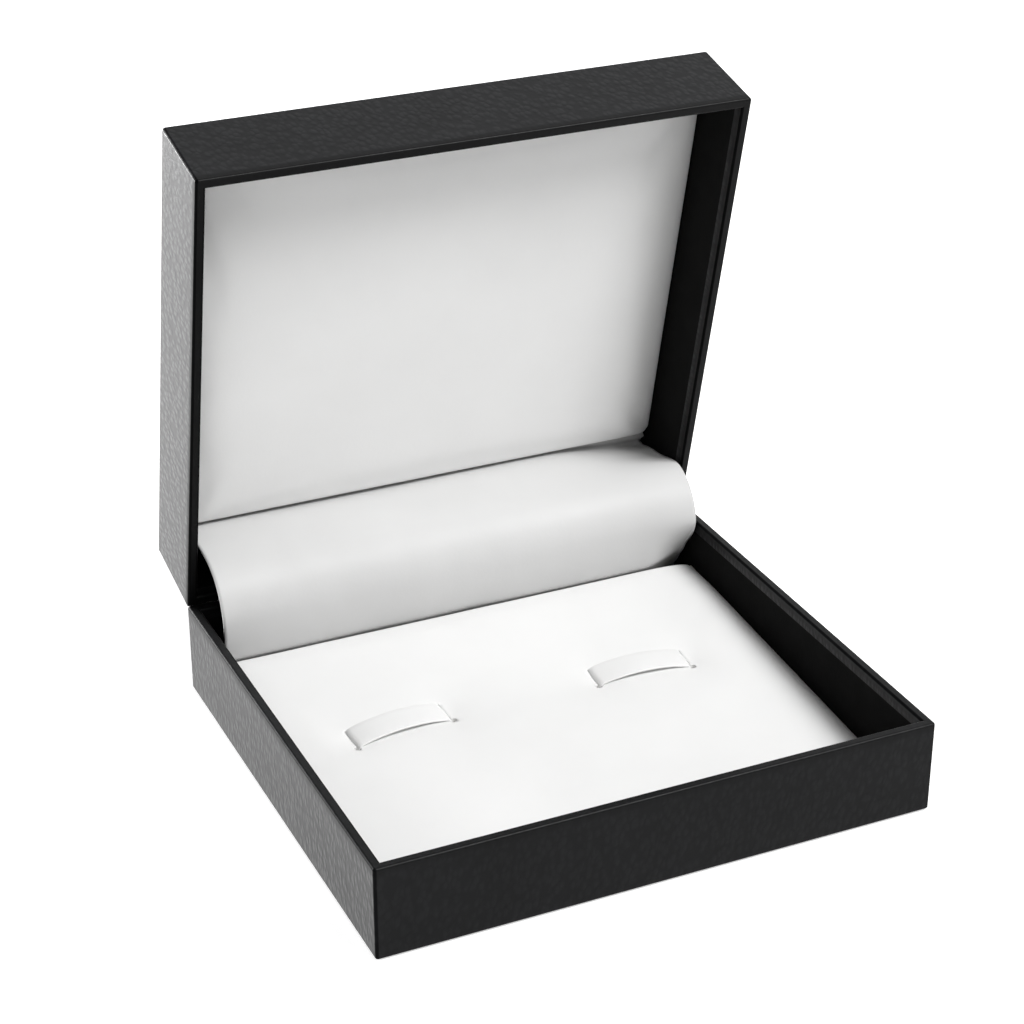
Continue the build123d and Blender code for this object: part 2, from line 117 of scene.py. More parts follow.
class Nodes:
    """A short way to write the nodes of a material or of the world, which is their owner."""

    def __init__(self, owner, output="OutputMaterial"):
        self.owner = owner
        owner.use_nodes = True
        self.tree = owner.node_tree
        self.tree.nodes.clear()
        self.out = self.add(output)

    def add(self, kind, inputs=None, **settings):
        """A new node. Each input is a socket to link or a value to set."""
        node = self.tree.nodes.new("ShaderNode" + kind)
        for key, value in settings.items():
            setattr(node, key, value)
        for key, value in (inputs or {}).items():
            if isinstance(value, bpy.types.NodeSocket):
                self.tree.links.new(value, node.inputs[key])
            else:
                node.inputs[key].default_value = value
        return node

    def show(self, shader):
        """Links the shader to the output."""
        self.tree.links.new(shader, self.out.inputs["Surface"])

    def math(self, operation, *values):
        return self.add("Math", dict(enumerate(values)), operation=operation).outputs[0]

    def vector(self, operation, inputs):
        return self.add("VectorMath", inputs, operation=operation).outputs

    def mix(self, share, a, b):
        """The colour between a and b, which are the Mix node's inputs 6 and 7."""
        return self.add("Mix", {0: share, 6: a, 7: b}, data_type="RGBA").outputs[2]

    def span(self, value, low, high, to_low=0.0, to_high=1.0, smooth=False):
        """The value, carried from the range low to high to the range to_low to to_high."""
        inputs = {0: value, 1: low, 2: high, 3: to_low, 4: to_high}
        blend = "SMOOTHSTEP" if smooth else "LINEAR"
        return self.add("MapRange", inputs, interpolation_type=blend).outputs[0]

    def here(self):
        """Object coordinates."""
        return self.add("TexCoord").outputs["Object"]

    def mapped(self, vector, **changes):
        """The vector, changed by Location, Rotation and Scale as far as they are given."""
        return self.add("Mapping", {"Vector": vector, **changes}).outputs[0]

    def coords(self, turn_x=0.0, scale=(1, 1, 1)):
        """Object coordinates, turned about X and then stretched."""
        return self.mapped(self.mapped(self.here(), Rotation=(turn_x, 0, 0)), Scale=scale)

    def noise(self, vector, scale, detail=2.0, roughness=0.5):
        inputs = {"Vector": vector, "Scale": scale, "Detail": detail, "Roughness": roughness}
        return self.add("TexNoise", inputs).outputs

    def warped(self, vector, scale, amount):
        """The coordinates, shifted a little this way and that."""
        shift = self.noise(vector, scale)["Color"]
        centred = self.vector("SUBTRACT", {0: shift, 1: (0.5, 0.5, 0.5)})[0]
        grown = self.vector("SCALE", {0: centred, "Scale": amount})[0]
        return self.vector("ADD", {0: vector, 1: grown})[0]

    def bump(self, height, distance, strength, **inputs):
        """The surface's normal, bumped by the height."""
        basic = {"Height": height, "Distance": distance, "Strength": strength}
        return self.add("Bump", {**basic, **inputs}).outputs[0]

    def principled(self, color, roughness, normal, **inputs):
        """The finished material. The other inputs are given with _ for each space of their names."""
        inputs = {key.replace("_", " "): value for key, value in inputs.items()}
        basic = {"Base Color": color, "Roughness": roughness, "Normal": normal}
        self.show(self.add("BsdfPrincipled", {**basic, **inputs}).outputs[0])
        return self.owner

    def background_ray(self):
        """1 for the rays that see the background: from the camera, off gloss and through glass."""
        ray = self.add("LightPath").outputs
        indirect = self.math("MAXIMUM", ray["Is Glossy Ray"], ray["Is Transmission Ray"])
        return self.math("MAXIMUM", ray["Is Camera Ray"], indirect)


def material_nodes(name):
    return Nodes(bpy.data.materials.new(name))


# ---- Materials -------------------------------------------------------------------------------------

FLAT_SHADED_FROM, FLAT_SHADED_TO = 1.5, 0.5           # flat, with a painted shade, between these depths below the rim


def leatherette(name, turn_x, out, rim_shade, sheen, shade):
    """Black embossed leatherette: small upright scales with soft valleys, satin, lighter at a grazing look.

    turn_x turns the scales upright. sheen is how much lighter it gets at a grazing look, and shade scales its
    colour, as a painted shade. The valleys are painted darker than the scales, a painted shade in the
    hollows.
    At the rim, which faces out, it goes flat, and rim_shade scales its colour there, as a painted shade, and
    its sheen. The rounded left and right edges are duller than the walls."""
    n = material_nodes(name)
    place = n.coords(turn_x)

    # the rim mask is 1 at the rim, where the bumps go flat and the colour takes a painted shade,
    # and edge is 1 where a rounded edge has turned partly to the left or right
    level = n.vector("DOT_PRODUCT", {0: n.here(), 1: out})["Value"]
    rim_level = HINGE.dot(out)
    flattened_and_shaded = n.span(level, (rim_level - FLAT_SHADED_FROM) * MM, (rim_level - FLAT_SHADED_TO) * MM, smooth=True)
    normal_x = n.add("SeparateXYZ", {0: n.add("NewGeometry").outputs["Normal"]}).outputs[0]
    sideways = n.math("ABSOLUTE", normal_x)
    edge = n.math("MULTIPLY", n.span(sideways, 0.04, 0.2), n.span(sideways, 0.99, 0.9))

    upright = n.mapped(n.warped(place, 420, 0.0009), Scale=(1, 1, 0.58))
    cells = n.add("TexVoronoi", {"Vector": upright, "Scale": 1150, "Smoothness": 0.35}, feature="SMOOTH_F1")
    scales = n.span(cells.outputs["Distance"], 0.15, 0.75, 1.0, 0.0, smooth=True)
    fine = n.noise(place, 4200)["Fac"]
    slow = n.noise(place, 110, 3, 0.55)["Fac"]
    height = n.math("ADD", scales, n.math("MULTIPLY", fine, 0.12))
    height = n.math("ADD", height, n.math("MULTIPLY", slow, 1.6))
    normal = n.bump(n.math("MULTIPLY", height, n.span(flattened_and_shaded, 0, 1, 1, 0.15)), 0.00005, 0.5)

    # The valleys are painted darker than the tops of the scales: painted shade in the hollows
    tone = n.mix(scales, (0.0064, 0.0066, 0.0073, 1), (0.0104, 0.0108, 0.0118, 1))
    # Random patches of tone, scaled by shade, a painted shade that darkens the base's copy
    patches_and_shade = n.span(slow, 0.3, 0.7, 0.85 * shade, 1.2 * shade)
    # Painted shade: the colour darkens towards the rim, down to rim_shade
    patches_and_shade = n.math("MULTIPLY", patches_and_shade, n.span(flattened_and_shaded, 0, 1, 1, rim_shade))
    tint = n.vector("SCALE", {0: tone, "Scale": patches_and_shade})[0]
    rim_sheen = n.span(flattened_and_shaded, 0, 1, sheen, 0.5 * rim_shade)
    return n.principled(
        tint,
        n.span(scales, 0.0, 1.0, 0.39, 0.31),
        normal,
        Specular_IOR_Level=n.span(edge, 0, 1, 0.1, 0.02),
        Sheen_Weight=n.math("MULTIPLY", rim_sheen, n.span(edge, 0, 1, 1, 0.35)),
        Sheen_Roughness=0.24,
    )


def matt_black(name, value):
    """Uncoated black paper: fine fibres, no shine."""
    n = material_nodes(name)
    fibre = n.noise(n.coords(scale=(1, 1, 0.35)), 2600, 4, 0.65)["Fac"]
    mottle = n.noise(n.coords(), 260, 3)["Fac"]
    tone = n.span(n.math("ADD", fibre, mottle), 0.7, 1.3, 0.75 * value, 1.3 * value)
    color = n.add("CombineColor", {0: tone, 1: tone, 2: tone}).outputs[0]
    return n.principled(color, 0.85, n.bump(fibre, 0.00003, 0.6), Specular_IOR_Level=0.05)


def satin_white(name, color, crease=0.00036, specular=0.35):
    """Smooth white leatherette of the pads, flap and straps: very fine grain, faint long creases, satin."""
    n = material_nodes(name)
    place = n.coords()
    grain = n.add("TexVoronoi", {"Vector": place, "Scale": 2600, "Randomness": 1.0}, feature="SMOOTH_F1")
    fine_normal = n.bump(grain.outputs["Distance"], 0.000012, 0.5)
    creased = n.noise(n.mapped(n.warped(place, 300, 0.002), Scale=(0.35, 1.0, 1.0)), 85, 2, 0.45)["Fac"]
    shade = n.span(n.noise(place, 45, 3)["Fac"], 0.3, 0.7, 0.975, 1.02)
    return n.principled(
        n.vector("SCALE", {0: color, "Scale": shade})[0],
        n.span(creased, 0.3, 0.7, 0.42, 0.55),
        n.bump(creased, crease, 0.6, Normal=fine_normal),
        Specular_IOR_Level=specular,
        Sheen_Weight=0.05,
        Sheen_Roughness=0.4,
    )


def board_stock(name, dark, light):
    """Grey board and card: layers bonded under pressure, and flecks."""
    n = material_nodes(name)
    layers = n.noise(n.coords(scale=(0.3, 0.3, 3.0)), 900, 3)["Fac"]
    flecks = n.noise(n.coords(), 3200, 2, 0.7)["Fac"]
    color = n.mix(n.span(n.math("ADD", layers, flecks), 0.75, 1.25), dark, light)
    return n.principled(color, 0.92, n.bump(flecks, 0.00003, 0.5), Specular_IOR_Level=0.15)


def foam_stock(name):
    """Open-cell foam."""
    n = material_nodes(name)
    cells = n.add("TexVoronoi", {"Vector": n.coords(), "Scale": 2400}, feature="F1").outputs["Distance"]
    color = n.mix(n.span(cells, 0.1, 0.6), (0.62, 0.60, 0.53, 1), (0.80, 0.78, 0.71, 1))
    return n.principled(color, 0.95, n.bump(cells, 0.0001, 0.8), Specular_IOR_Level=0.1)


def steel(name, value, tint, stretch, roughness):
    """Plated or blued steel with fine marks along the strip and faint stains."""
    n = material_nodes(name)
    marks = n.noise(n.coords(scale=stretch), 9000, 2, 0.6)["Fac"]
    stains = n.noise(n.coords(), 420, 3)["Fac"]
    stained = [value * t * 0.82 for t in tint] + [1]
    clean = [value * t for t in tint] + [1]
    color = n.mix(n.span(stains, 0.35, 0.65), stained, clean)
    rough = n.span(marks, 0.3, 0.7, roughness - 0.07, roughness + 0.1)
    return n.principled(color, rough, n.bump(marks, 0.000012, 0.5), Metallic=1.0)


PLATED, BLUED = (1.0, 0.98, 0.94), (0.85, 0.95, 1.15)    # tints of the steels
BASE_OUT = Vector((0, 0, 1))                  # out of the base's floor
# By material slot and, where the two halves differ, by body
finishes = {
    # Painted shade: the base's leatherette is a darker copy of the lid's (shade 0.72, less sheen), and
    # rim_shade paints each rim darker, the lid's most
    ("leatherette", "base"): leatherette(
        "leatherette_base", 0.0, BASE_OUT, rim_shade=0.6, sheen=0.6, shade=0.72
    ),
    ("leatherette", "lid"): leatherette(
        "leatherette_lid", math.pi - LEAN, LID_W, rim_shade=0.2, sheen=0.84, shade=1.0
    ),
    ("lining", None): matt_black("wall_lining", 0.0045),
    ("underside", None): matt_black("underside_paper", 0.010),
    ("board", None): board_stock("grey_board", (0.24, 0.23, 0.21, 1), (0.40, 0.385, 0.35, 1)),
    ("card", None): board_stock("white_card", (0.50, 0.49, 0.45, 1), (0.68, 0.66, 0.61, 1)),
    ("foam", None): foam_stock("pad_foam"),
    ("pad_skin", None): satin_white("pad_satin", (0.88, 0.88, 0.875)),
    # Painted shade: the flap's white is darker than the pads' and straps'
    ("flap_skin", None): satin_white("flap_satin_shaded", (0.67, 0.67, 0.667), specular=0.2),
    ("strap", None): satin_white("strap_satin", (0.87, 0.87, 0.865), crease=0.00012),
    ("hinge_steel", None): steel("hinge_steel", 0.62, PLATED, (0.02, 1, 1), 0.32),
    ("rivet_steel", None): steel("rivet_steel", 0.56, PLATED, (1, 1, 1), 0.32),
    ("spring_steel", None): steel("spring_steel", 0.22, BLUED, (1, 0.05, 1), 0.28),
}
slot_of = {part["node"]: part["material_slot"] for part in frame["record"]["subparts"]}
for node_name, node in frame["nodes"].items():
    slot_name = slot_of[node_name]
    finish = finishes.get((slot_name, None)) or finishes[(slot_name, node["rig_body"])]
    for material_slot in node.material_slots:
        material_slot.material = finish

# ---- Mesh helpers --------------------------------------------------------------------------------


def make_object(name, points, faces, slot_name):
    """A smooth-shaded piece with these points in metres."""
    mesh = bpy.data.meshes.new(name)
    mesh.from_pydata([tuple(p) for p in points], [], faces)
    mesh.update()
    mesh.polygons.foreach_set("use_smooth", [True] * len(mesh.polygons))
    mesh.materials.append(finishes[(slot_name, None)])
    return new_object(name, mesh)


def apply_modifiers(piece):
    bpy.context.view_layer.update()
    evaluated = piece.evaluated_get(bpy.context.evaluated_depsgraph_get())
    mesh = bpy.data.meshes.new_from_object(evaluated)
    piece.modifiers.clear()
    piece.data = mesh


def hand_over(piece, body, slot_name, *nodes):
    """Hides the nodes that the piece replaces and, if it rides on one, attaches it to its body. slot_name is
    not used.
    """
    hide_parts(*nodes)
    if body:
        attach(piece, body)


def edit_mesh(piece, change):
    """Runs the change on the piece's mesh, as a bmesh."""
    editable = bmesh.new()
    editable.from_mesh(piece.data)
    change(editable)
    editable.to_mesh(piece.data)
    editable.free()


def fill_holes(editable):
    bmesh.ops.holes_fill(editable, edges=[edge for edge in editable.edges if edge.is_boundary])


def face_outwards(editable):
    bmesh.ops.recalc_face_normals(editable, faces=editable.faces)


def wave(x, y, length_x, length_y, seed):
    """A gentle wave at that point, from about -1 to 1."""
    return noise.noise(Vector((x / length_x, y / length_y, seed)))


def grid_faces(columns, rows):
    """The faces between rows of points, each with that many columns."""
    return [
        (k, k + 1, k + columns + 1, k + columns)
        for row in range(rows - 1)
        for k in range(row * columns, (row + 1) * columns - 1)
    ]


def cut_out(piece, cutter):
    """Takes the cutter's closed shapes out of the piece."""
    mesh = bpy.data.meshes.new("cutter")
    cutter.to_mesh(mesh)
    cutter.free()
    shapes = new_object("cutter", mesh)
    cut = piece.modifiers.new("cut", "BOOLEAN")
    cut.operation, cut.solver, cut.object = "DIFFERENCE", "EXACT", shapes
    apply_modifiers(piece)
    bpy.data.objects.remove(shapes)


# ---- Pads: foam under a skin, blown up a little from a slightly smaller shape ----------------------

BORDER = (0.0, 0.15, 0.5, 1.1, 1.9, 3.0)      # from an edge to each row of points near it
PITCH = 1.3                                   # between the other rows, about
SIM_SCALE = 10                                # the cloth works at ten times the real size
SIM_FRAMES = 20
TRAVEL = 0.3                                  # the furthest that the swelling may move a point
ROLL_SHAPE = 2.4                              # 2 rolls an edge over in an ellipse, and more is squarer
PAD_WAVE = 0.05                               # height of a pad's waves
LONG_WAVE, SHORT_WAVE = (16, 13), (6, 7)      # their lengths, across and along
HELD_FROM, HELD_GAIN = 0.35, 1.2              # how near a dimple a point is held, and how firmly
WALL_ROWS = ((0.6, 0.0), (0.15, 0.0), (0.0, 0.12))    # share of the edge's height, and how far in


def steps(length):
    """Positions from 0 to length: the border's own steps at both ends and about one pitch between them."""
    count = round((length - 2 * BORDER[-1]) / PITCH)
    middle = [BORDER[-1] + (length - 2 * BORDER[-1]) * i / count for i in range(1, count)]
    return list(BORDER) + middle + [length - b for b in reversed(BORDER)]


def blow_up(points, faces, pinned, pressure):
    """The points after the cloth has swelled. pinned gives how firmly each held point is held, up to 1."""
    rest = np.array(points, float) * MM * SIM_SCALE
    mesh = bpy.data.meshes.new("swelling")
    mesh.from_pydata(rest.tolist(), [], faces)
    skin = new_object("swelling", mesh)
    group = skin.vertex_groups.new(name="pinned")
    for weight in sorted(set(pinned.values())):
        group.add([i for i, w in pinned.items() if w == weight], weight, "REPLACE")
    cloth = skin.modifiers.new("Cloth", "CLOTH")
    cloth.settings.quality = 5
    cloth.settings.mass = 0.3
    cloth.settings.tension_stiffness = 25
    cloth.settings.compression_stiffness = 25
    cloth.settings.shear_stiffness = 8
    cloth.settings.bending_stiffness = 2.0
    cloth.settings.use_pressure = True
    cloth.settings.uniform_pressure_force = pressure
    cloth.settings.vertex_group_mass = group.name
    cloth.settings.effector_weights.gravity = 0
    cloth.collision_settings.use_collision = False
    cloth.point_cache.frame_start, cloth.point_cache.frame_end = 1, SIM_FRAMES
    for step in range(1, SIM_FRAMES + 1):
        bpy.context.scene.frame_set(step)
    evaluated = skin.evaluated_get(bpy.context.evaluated_depsgraph_get())
    swollen = np.array([v.co for v in evaluated.data.vertices], float)
    bpy.data.objects.remove(skin)
    bpy.context.scene.frame_set(1)
    moved = (swollen - rest) / (MM * SIM_SCALE)
    length = np.linalg.norm(moved, axis=1, keepdims=True)
    # Shortened by a smooth curve that never passes TRAVEL
    return points + moved * (TRAVEL * np.tanh(length / TRAVEL) / np.maximum(length, 1e-9))


def into_corner(x, y, width, length, radius):
    """The point of a pad's plan, drawn in where it is in a corner, so that the corners are round."""
    a = max(0.0, abs(x) - (width / 2 - radius))
    b = max(0.0, abs(y - length / 2) - (length / 2 - radius))
    if a and b:
        shrink = max(a, b) / math.hypot(a, b)
        x = math.copysign(width / 2 - radius + a * shrink, x)
        y = length / 2 + math.copysign(length / 2 - radius + b * shrink, y - length / 2)
    return x, y


def pad_skin(width, length, thickness, rolls, corner, dimples, pressure, seed):
    """Points and faces of a pad that stands on w = 0 and is open at the bottom.

    rolls are (inwards, down) for the left, right, near and far edges, which are rounded over by that much.
    dimples are (u, v, radius, depth), and corner is the radius of the plan's corners."""
    us, vs = steps(width), steps(length)
    columns, rows = len(us), len(vs)
    points, pinned = [], {}
    deepest = max(down for _, down in rolls)
    for v in vs:
        for u in us:
            kept = 1.0
            for distance, (inwards, down) in zip((u, width - u, v, length - v), rolls):
                inside = max(0.0, 1 - distance / inwards)
                kept *= 1 - down / deepest * (1 - math.sqrt(max(0.0, 1 - inside**ROLL_SHAPE)))
            height = thickness - deepest * (1 - kept)
            x, y = into_corner(u - width / 2, v, width, length, corner)
            weight = 0.0
            for du, dv, radius, depth in dimples:
                near = math.exp(-(((x - du) ** 2 + (y - dv) ** 2) / radius**2))
                height -= depth * near
                weight = max(weight, near)
            height += PAD_WAVE * (wave(x, y, *LONG_WAVE, seed) + 0.5 * wave(x, y, *SHORT_WAVE, seed + 5))
            if weight > HELD_FROM:
                pinned[len(points)] = round(min(1.0, weight * HELD_GAIN), 1)
            points.append((x, y, height))
    faces = grid_faces(columns, rows)

    # The outermost points in turn, and the walls down from them
    ring = (
        list(range(columns))
        + [j * columns + columns - 1 for j in range(1, rows)]
        + [(rows - 1) * columns + i for i in range(columns - 2, -1, -1)]
        + [j * columns for j in range(rows - 2, 0, -1)]
    )
    count = len(ring)
    above = ring
    for part, inset in WALL_ROWS:
        below = list(range(len(points), len(points) + count))
        for k in ring:
            x, y, _ = points[k]
            x -= math.copysign(inset, x)
            y -= math.copysign(inset, y - length / 2)
            points.append((x, y, part * (thickness - deepest)))
        pinned.update({k: 1.0 for k in below})
        faces += [(above[k], below[k], below[(k + 1) % count], above[(k + 1) % count]) for k in range(count)]
        above = below
    pinned.update({k: 1.0 for k in ring})

    points = np.array(points, float)
    return blow_up(points, faces, pinned, pressure), faces


def build_pad(name, matrix, skin):
    """The pad's skin, with finer faces and a bottom."""
    points, faces = skin
    pad = make_object(name, [matrix @ Vector(p) for p in points], faces, "pad_skin")
    finer = pad.modifiers.new("finer", "SUBSURF")
    finer.levels = finer.render_levels = 1
    apply_modifiers(pad)
    edit_mesh(pad, fill_holes)
    return pad


# Cufflink pad in the base: tilted up to the back, with a dimple at either end of each strap
PAD_TILT = math.radians(3.9)
PAD_FRONT = (0, -38.2, 1.5)
PAD_WIDTH, PAD_LENGTH, PAD_TOP, PAD_CORNER = 86.4, 71.063, 1.9, 1.0
PAD_ROLLS = ((3.0, 0.9), (4.0, 1.1), (3.0, 0.8), (1.6, 0.35))
PAD_PRESSURE, PAD_SEED = 2.0, 3.0
PAD_NARROWER, PAD_LONGER, PAD_LOWER = 0.1, 0.25, 0.25    # than the solid, before it swells
FLAP_DIMPLE = (PAD_WIDTH / 2, PAD_LENGTH, 5.0, 0.45)     # the corner behind the flap's right end
STRAP_FROM_SIDE, STRAP_SPAN, STRAP_WIDTH, STRAP_FROM_FRONT = 22.0, 16.1, 5.0, 45.0
STRAP_TURNS = (math.radians(4.5), math.radians(-2.5))
STRAP_SHIFTS = (-1.1, -1.5)                   # both straps are sewn in a little to the left
DIMPLE_RADIUS, DIMPLE_DEPTH = 1.9, 0.28
DIMPLE_OUT, DIMPLE_SPACING = 0.2, 1.6         # past a strap's end, and between the three that make one dimple

pad_frame = frame_matrix(PAD_FRONT, (1, 0, 0), (0, math.cos(PAD_TILT), math.sin(PAD_TILT)))
strap_places = [
    (side * (PAD_WIDTH / 2 - STRAP_FROM_SIDE) + shift, STRAP_FROM_FRONT, turn_z)
    for side, shift, turn_z in zip((-1, 1), STRAP_SHIFTS, STRAP_TURNS)
]


def on_strap(place, along, across):
    """A point of a strap's own plan, on the pad's plan."""
    u, v, turn_z = place
    return (
        u + along * math.cos(turn_z) - across * math.sin(turn_z),
        v + along * math.sin(turn_z) + across * math.cos(turn_z),
    )


dimples = [
    (*on_strap(place, end * (STRAP_SPAN / 2 + DIMPLE_OUT), across), DIMPLE_RADIUS, DIMPLE_DEPTH)
    for place in strap_places
    for end in (-1, 1)
    for across in (-DIMPLE_SPACING, 0.0, DIMPLE_SPACING)
]
pad = build_pad(
    "cufflink_pad",
    pad_frame,
    pad_skin(
        width=PAD_WIDTH - PAD_NARROWER,
        length=PAD_LENGTH + PAD_LONGER,
        thickness=PAD_TOP - PAD_LOWER,
        rolls=PAD_ROLLS,
        corner=PAD_CORNER,
        dimples=[*dimples, FLAP_DIMPLE],
        pressure=PAD_PRESSURE,
        seed=PAD_SEED,
    ),
)

# Slots that the straps go down through, each opened a little further by a hole at its front end
SLOT_WIDTH, SLOT_LENGTH, SLOT_IN = 0.46, 4.9, 0.05    # SLOT_IN and HOLE_OUT are measured from a strap's end
HOLE_RADIUS, HOLE_SIDES, HOLE_OUT = 0.55, 20, 0.25
CUT_MIDDLE, CUT_DEPTH = 0.9, 6.0              # height on the pad, and deep enough to go right through
slots, holes = bmesh.new(), bmesh.new()
for place in strap_places:
    for end in (-1, 1):
        slot_middle = Vector((*on_strap(place, end * (STRAP_SPAN / 2 - SLOT_IN), 0.0), CUT_MIDDLE))
        turned = Matrix.Rotation(place[2], 4, "Z")
        slot_size = Matrix.Diagonal((SLOT_WIDTH, SLOT_LENGTH, CUT_DEPTH, 1))
        bmesh.ops.create_cube(
            slots, size=1.0, matrix=pad_frame @ Matrix.Translation(slot_middle) @ turned @ slot_size
        )
        hole_plan = on_strap(place, end * (STRAP_SPAN / 2 + HOLE_OUT), -STRAP_WIDTH / 2)
        bmesh.ops.create_cone(
            holes, cap_ends=True, segments=HOLE_SIDES,
            radius1=HOLE_RADIUS, radius2=HOLE_RADIUS, depth=CUT_DEPTH,
            matrix=pad_frame @ Matrix.Translation((*hole_plan, CUT_MIDDLE)),
        )
cut_out(pad, slots)
cut_out(pad, holes)
hand_over(pad, "base", "pad_skin", "base_pad_cover", "base_pad_foam")

# Panel in the lid
LID_PAD_START, LID_PAD_LENGTH, LID_PAD_THICKNESS, LID_PAD_CORNER = 7.2, 71.0, 3.7, 1.4
LID_PAD_ROLLS = ((5.0, 2.0), (5.5, 1.4), (1.4, 0.6), (4.5, 1.8))
LID_PAD_PRESSURE, LID_PAD_SEED = 1.0, 11.0
LID_PAD_NARROWER, LID_PAD_SHORTER, LID_PAD_LOWER = 0.1, 0.1, 0.3    # than the solid, before it swells
LID_DIMPLE = (-PAD_WIDTH / 2, LID_PAD_LENGTH, 6.0, 1.4)    # the corner by the lid's front and left walls
lid_pad_frame = frame_matrix(HINGE + LID_V * LID_PAD_START - LID_W * LID_FLOOR, (1, 0, 0), LID_V)
lid_pad = build_pad(
    "lid_panel",
    lid_pad_frame,
    pad_skin(
        width=PAD_WIDTH - LID_PAD_NARROWER,
        length=LID_PAD_LENGTH - LID_PAD_SHORTER,
        thickness=LID_PAD_THICKNESS - LID_PAD_LOWER,
        rolls=LID_PAD_ROLLS,
        corner=LID_PAD_CORNER,
        dimples=[LID_DIMPLE],
        pressure=LID_PAD_PRESSURE,
        seed=LID_PAD_SEED,
    ),
)
hand_over(lid_pad, "lid", "pad_skin", "lid_pad_cover", "lid_pad_foam")

# ---- Straps: arched over the pad, down through the slots and glued flat beneath it ----------------

STRAP_THICKNESS, STRAP_RISE, STRAP_TAIL, STRAP_CURL = 0.4, 1.05, 4.0, 0.08
STRAP_SINK = 0.28                             # the ends sink into the dimples
STRAP_BEND, BEND_STEPS = 1.2, 6               # radius of the bends at the slots, about
ARCH_STEPS, ARCH_TRIM = 24, 4                 # the bends take the place of the arch's first and last steps
GLUE_GAP = 0.05                               # between the pad's underside and a strap's tails
ROUND_STEPS = 8                               # round either edge of a strip
FLAT_SHARES = (0.2, 0.4, 0.6, 0.8)            # where a strip's flat sides have points as well


def rounded(path, radius, count):
    """The path with its inner corners turned into curves, which stop short of the next corner's."""
    smooth = [Vector(path[0])]
    for before, corner, after in zip(path, path[1:], path[2:]):
        corner = Vector(corner)
        back, on = (Vector(before) - corner), (Vector(after) - corner)
        reach = min(radius, back.length * 0.49, on.length * 0.49)
        a, b = corner + back.normalized() * reach, corner + on.normalized() * reach
        for i in range(count + 1):
            t = i / count
            smooth.append(a * (1 - t) ** 2 + corner * 2 * t * (1 - t) + b * t**2)
    smooth.append(Vector(path[-1]))
    return smooth


def strip_profile(width, thickness):
    """The (across, out) points round a strip, which has rounded edges."""
    r = thickness / 2
    right, left = [], []
    for side, start, edge in ((1, math.pi / 2, right), (-1, -math.pi / 2, left)):
        for k in range(ROUND_STEPS + 1):
            a = start - math.pi * k / ROUND_STEPS
            edge.append((side * (width / 2 - r) + r * math.cos(a), r * math.sin(a)))
    inner = [(right[-1][0] * (1 - 2 * share), -r) for share in FLAT_SHARES]
    outer = [(-across, r) for across, _ in inner]
    return right + inner + left + outer


def ribbon(name, paths, matrix, width, thickness, slot_name, curl=0.0):
    """A strip along each path of (along, up) points. curl is how far its edges hang below its middle."""
    profile = strip_profile(width, thickness)
    count = len(profile)
    points, faces = [], []
    for path in paths:
        first = len(points)
        for i, here in enumerate(path):
            a, b = path[max(0, i - 1)], path[min(len(path) - 1, i + 1)]
            along = (b - a).normalized()
            up = Vector((-along.y, along.x))
            for across, out in profile:
                sag = curl * (abs(across) / (width / 2)) ** 2
                p = here + up * (out - sag)
                points.append(matrix @ Vector((p.x, across, p.y)))
        for i in range(len(path) - 1):
            for k in range(count):
                a, b = first + i * count + k, first + i * count + (k + 1) % count
                faces.append((a, a + count, b + count, b))
        faces.append(tuple(first + k for k in reversed(range(count))))
        faces.append(tuple(len(points) - count + k for k in range(count)))
    piece = make_object(name, points, faces, slot_name)
    edit_mesh(piece, face_outwards)
    return piece


half_span = STRAP_SPAN / 2
end_height = PAD_TOP - STRAP_SINK
tail_height = -STRAP_THICKNESS / 2 - GLUE_GAP
arch_radius = (half_span**2 + STRAP_RISE**2) / (2 * STRAP_RISE)
arch_half = math.asin(half_span / arch_radius)
arch = []
for i in range(ARCH_STEPS + 1):
    a = -arch_half + 2 * arch_half * i / ARCH_STEPS
    arch.append((arch_radius * math.sin(a), end_height + arch_radius * (math.cos(a) - math.cos(arch_half))))
strap_corners = (
    [(-half_span - STRAP_TAIL, tail_height), (-half_span, tail_height), (-half_span, end_height)]
    + arch[ARCH_TRIM:-ARCH_TRIM]
    + [(half_span, end_height), (half_span, tail_height), (half_span + STRAP_TAIL, tail_height)]
)
strap_path = rounded(strap_corners, STRAP_BEND, BEND_STEPS)
for side, (u, v, turn_z) in zip(("left", "right"), strap_places):
    turned = Matrix.Translation((u, v, 0)) @ Matrix.Rotation(turn_z, 4, "Z")
    spot = pad_frame @ turned
    strap = ribbon(f"strap_{side}", [strap_path], spot, STRAP_WIDTH, STRAP_THICKNESS, "strap", STRAP_CURL)
    hand_over(strap, "base", "strap", f"cufflink_strap_{side}")

# ---- Flap over the hinge ----------------------------------------------------------------------------
# Its side section is measured from the hinge axis: to the front, and down.

FLAP_THICKNESS, FLAP_RADIUS = 0.4, 9.0        # the radius of its face round the hinge axis
BASE_BEND, BASE_DROP = 14.4, 8.3              # radius and depth of the bend below the rim
LID_BEND = 28.0                               # radius of the bend into the lid
END_GAP = 0.3                                 # from either end to the board floor there
LID_TAIL = 1.8                                # glued to the lid's floor, up to the pad
FOOT_STEPS, BASE_STEPS, FACE_STEPS, LID_STEPS, TAIL_STEPS = 6, 12, 24, 24, 4    # of its side section
FLAP_COLUMNS = 170
FLAP_LEFT, FLAP_RIGHT = -42.0, 42.8           # cut a little narrower than the solid
FOOT_TRIM = 0.3                               # more at the foot's left end
FOOT_REACH, FOOT_RECESS = 9.0, 2.2            # the right corners are tucked in, at the foot
HEAD_REACH, HEAD_RECESS = 20.0, 2.0           # and at the lid
FLAP_WAVES = ((0.22, 15, 16, 2.0), (0.08, 5, 9, 7.0))    # height, lengths across and along, seed
